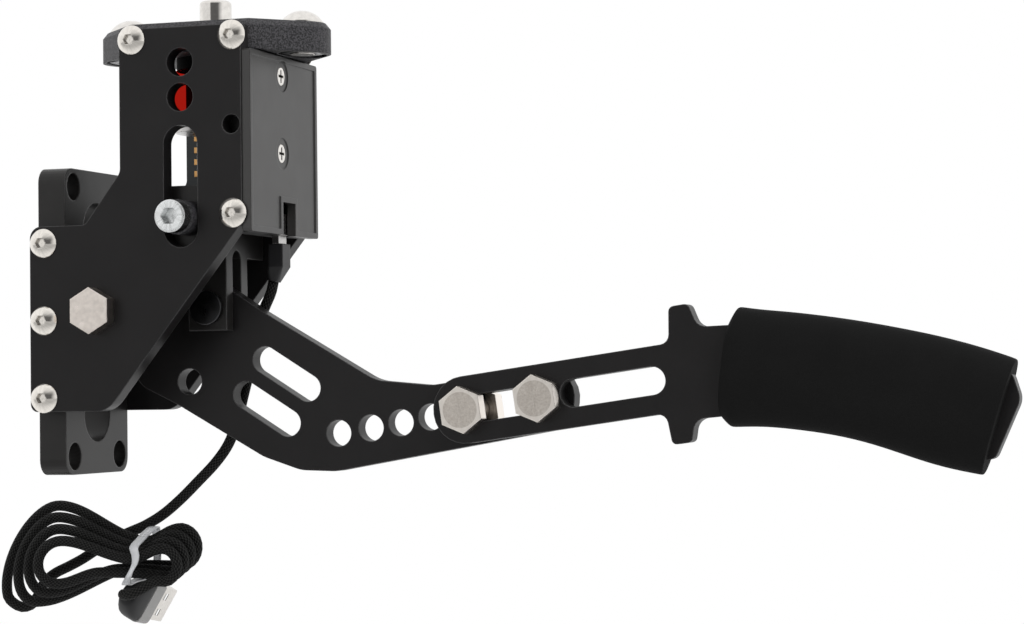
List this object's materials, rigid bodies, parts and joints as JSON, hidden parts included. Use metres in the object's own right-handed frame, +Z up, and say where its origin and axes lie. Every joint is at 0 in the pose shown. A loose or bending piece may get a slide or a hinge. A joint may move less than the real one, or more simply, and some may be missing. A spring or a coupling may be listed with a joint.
{
  "type": "sim racing handbrake",
  "caption": "Side-mounted hand lever for a driving rig, with twin side plates, an elastic damper, a foam grip and a tied lead.",
  "frame": {"origin": "Centre of the base plate's mounting face, at the middle of its four mounting holes.", "axes": "+X runs away from the mounting face towards the grip, +Y away from the near side plate, +Z up towards the top cap."},
  "size_m": [0.3437, 0.0755, 0.2053],
  "materials": {
    "anodised_black": "fine matte black anodised plate",
    "moulded_black": "finely textured moulded plastic",
    "cover_grey": "smooth dark grey moulded cover",
    "bright_steel": "bright plated steel",
    "dark_steel": "dark spring steel",
    "turned_aluminium": "turned aluminium",
    "bronze": "sintered bronze",
    "red_elastomer": "red translucent elastomer",
    "grip_foam": "fine closed-cell foam",
    "board_green": "green circuit board",
    "board_dark": "dark circuit board",
    "gold_pad": "gold-plated pads",
    "lead_jacket": "black braided sleeve over a flexible lead",
    "clear_tie": "translucent pale tie",
    "plug_grey": "grey moulded plug",
    "white_plastic": "white plastic tongue"
  },
  "bodies": {
    "housing": {"base_plate": "anodised_black", "side_plate_near": "anodised_black", "side_plate_far": "anodised_black", "plate_screws_near": "bright_steel", "plate_screws_far": "bright_steel", "top_cap": "moulded_black", "cap_end_screws": "bright_steel", "cap_end_nuts": "bright_steel", "guide_bush": "bronze", "damper_seat": "moulded_black", "damper": "red_elastomer", "box_tray": "moulded_black", "box_cover": "cover_grey", "cover_screws": "bright_steel", "main_board": "board_green", "board_chips": "moulded_black", "lead_socket": "bright_steel", "sensor_board": "board_dark", "sensor_pads": "gold_pad", "sensor_chip": "moulded_black", "sensor_screws": "bright_steel", "sensor_lead": "lead_jacket", "pivot_bolt": "bright_steel", "pivot_washer": "bright_steel", "pivot_nut": "bright_steel", "pivot_spacers": "turned_aluminium", "small_plug_shell": "bright_steel", "strain_relief": "lead_jacket", "usb_lead": "lead_jacket", "lead_hank": "lead_jacket", "hank_tie": "clear_tie", "usb_plug_body": "plug_grey", "usb_plug_collar": "plug_grey", "usb_plug_shell": "bright_steel", "usb_plug_tongue": "white_plastic"},
    "lever": {"lever_arm": "anodised_black", "lever_bush": "bronze", "handle_plate": "anodised_black", "handle_bolts": "bright_steel", "handle_nuts": "bright_steel", "foam_grip": "grip_foam", "clevis_pin": "bright_steel", "pin_clip": "dark_steel"},
    "follower": {"follower_fork": "anodised_black", "push_rod": "bright_steel", "lock_nut": "bright_steel", "thrust_sleeve": "turned_aluminium", "thrust_washer": "bright_steel", "top_nut": "bright_steel", "magnet": "bright_steel", "guide_screws": "bright_steel", "guide_bushes": "turned_aluminium"}
  },
  "joints": [
    {"name": "lever_swing", "type": "hinge", "parent": "housing", "child": "lever", "pos_m": [0.0234, 0, 0.0028], "axis": [0, -1, 0], "range_deg": [0, 15], "stiffness_Nm_per_rad": 60, "springref_deg": -1.15},
    {"name": "follower_slide", "type": "slide", "parent": "housing", "child": "follower", "axis": [0, 0, 1], "range_m": [0, 0.0079], "deforming": ["damper"]}
  ],
  "couplings": [
    {"joint": "follower_slide", "follows": "lever_swing", "m_per_rad": 0.02965}
  ]
}
